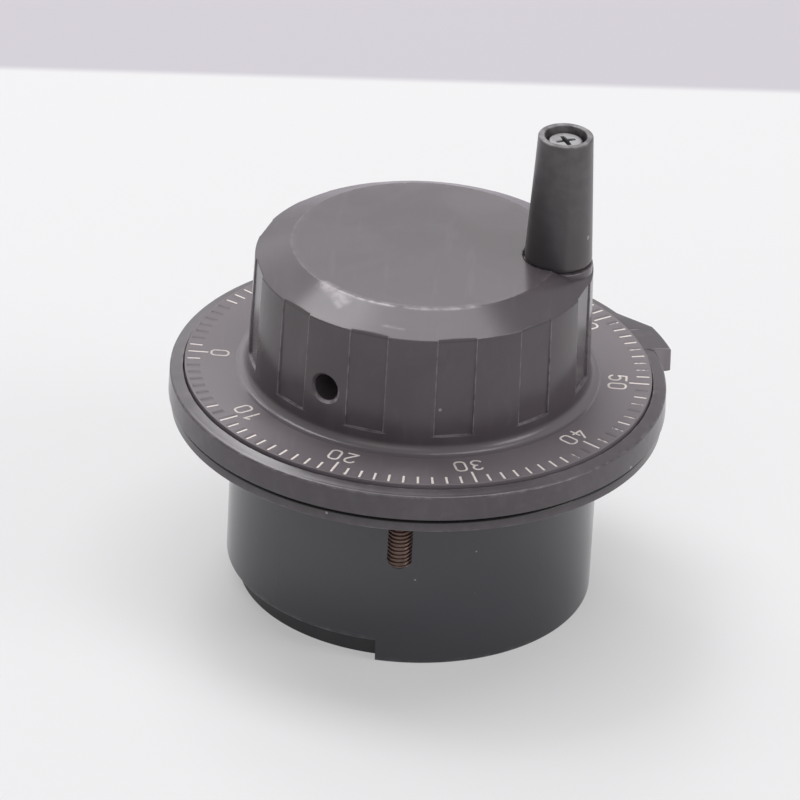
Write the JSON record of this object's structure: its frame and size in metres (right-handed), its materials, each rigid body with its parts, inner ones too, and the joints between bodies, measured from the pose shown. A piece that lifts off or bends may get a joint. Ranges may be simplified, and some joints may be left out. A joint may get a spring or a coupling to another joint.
{
  "type": "pulse generator handwheel",
  "caption": "Panel-mounted pulse generator handwheel: fluted knob with spinning crank grip on an engraved dial, round body behind the flange.",
  "frame": {"origin": "on the shaft's axis, in the plane of the mounting flange's underside, where it meets the panel", "axes": "+Z along the shaft towards the knob and the operator; +X towards the crank grip at rest"},
  "size_m": [0.0813, 0.081, 0.0822],
  "materials": {
    "black_casing": "black anodised, satin",
    "bezel_black": "black anodised, satin, worn edge",
    "dial_black": "black anodised, engraved, filled in cream",
    "knob_plastic": "moulded, satin",
    "grip_plastic": "moulded, satin",
    "cover_plastic": "moulded, matt",
    "stud_copper": "copper-flashed thread",
    "zinc_screw": "zinc plated",
    "bearing_steel": "ground and polished",
    "turned_steel": "turned",
    "turned_brass": "turned",
    "cast_alloy": "die cast, machined",
    "magnet_dark": "sintered",
    "board_green": "solder mask",
    "terminal_green": "moulded",
    "chip_black": "moulded, matt"
  },
  "bodies": {
    "body": {"mounting_flange": "black_casing", "mounting_studs": "stud_copper", "bezel_ring": "bezel_black", "bezel_screws": "zinc_screw", "body_shell": "black_casing", "bearing_carrier": "cast_alloy", "case_screws": "zinc_screw", "front_bearing_outer": "bearing_steel", "rear_bearing_outer": "bearing_steel", "pole_pieces": "turned_steel", "detent_magnets": "magnet_dark", "encoder_board": "board_green", "light_source": "chip_black", "photo_sensor": "chip_black", "board_spacers": "turned_steel", "board_screws": "zinc_screw", "terminal_block": "terminal_green", "terminal_screws": "zinc_screw", "rear_cover": "cover_plastic", "cover_screws": "zinc_screw"},
    "handwheel": {"front_bearing_inner": "bearing_steel", "rear_bearing_inner": "bearing_steel", "bearing_spacer": "turned_steel", "shaft": "turned_steel", "shaft_nut": "zinc_screw", "hub_insert": "turned_brass", "set_screws": "turned_steel", "knob": "knob_plastic", "dial_plate": "dial_black", "dial_screws": "zinc_screw", "grip_insert": "turned_brass", "grip_sleeve": "turned_steel", "grip_screw": "zinc_screw", "detent_rotor": "turned_steel", "code_disc": "turned_steel", "code_disc_hub": "cast_alloy"},
    "grip": {"crank_grip": "grip_plastic"},
    "front_cage": {"front_ball_cage": "turned_brass", "front_balls": "bearing_steel"},
    "rear_cage": {"rear_ball_cage": "turned_brass", "rear_balls": "bearing_steel"}
  },
  "joints": [
    {"name": "handwheel_spin", "type": "hinge", "parent": "body", "child": "handwheel", "pos_m": [0, 0, 0], "axis": [0, 0, 1], "continuous": true},
    {"name": "grip_spin", "type": "hinge", "parent": "handwheel", "child": "grip", "pos_m": [0.0215, 0, 0.0295], "axis": [0, 0, 1], "continuous": true},
    {"name": "front_cage_spin", "type": "hinge", "parent": "body", "child": "front_cage", "pos_m": [0, 0, 0.002], "axis": [0, 0, 1], "continuous": true},
    {"name": "rear_cage_spin", "type": "hinge", "parent": "body", "child": "rear_cage", "pos_m": [0, 0, -0.0085], "axis": [0, 0, 1], "continuous": true}
  ],
  "couplings": [
    {"joint": "front_cage_spin", "follows": "handwheel_spin", "ratio": 0.4008},
    {"joint": "rear_cage_spin", "follows": "handwheel_spin", "ratio": 0.4008}
  ]
}
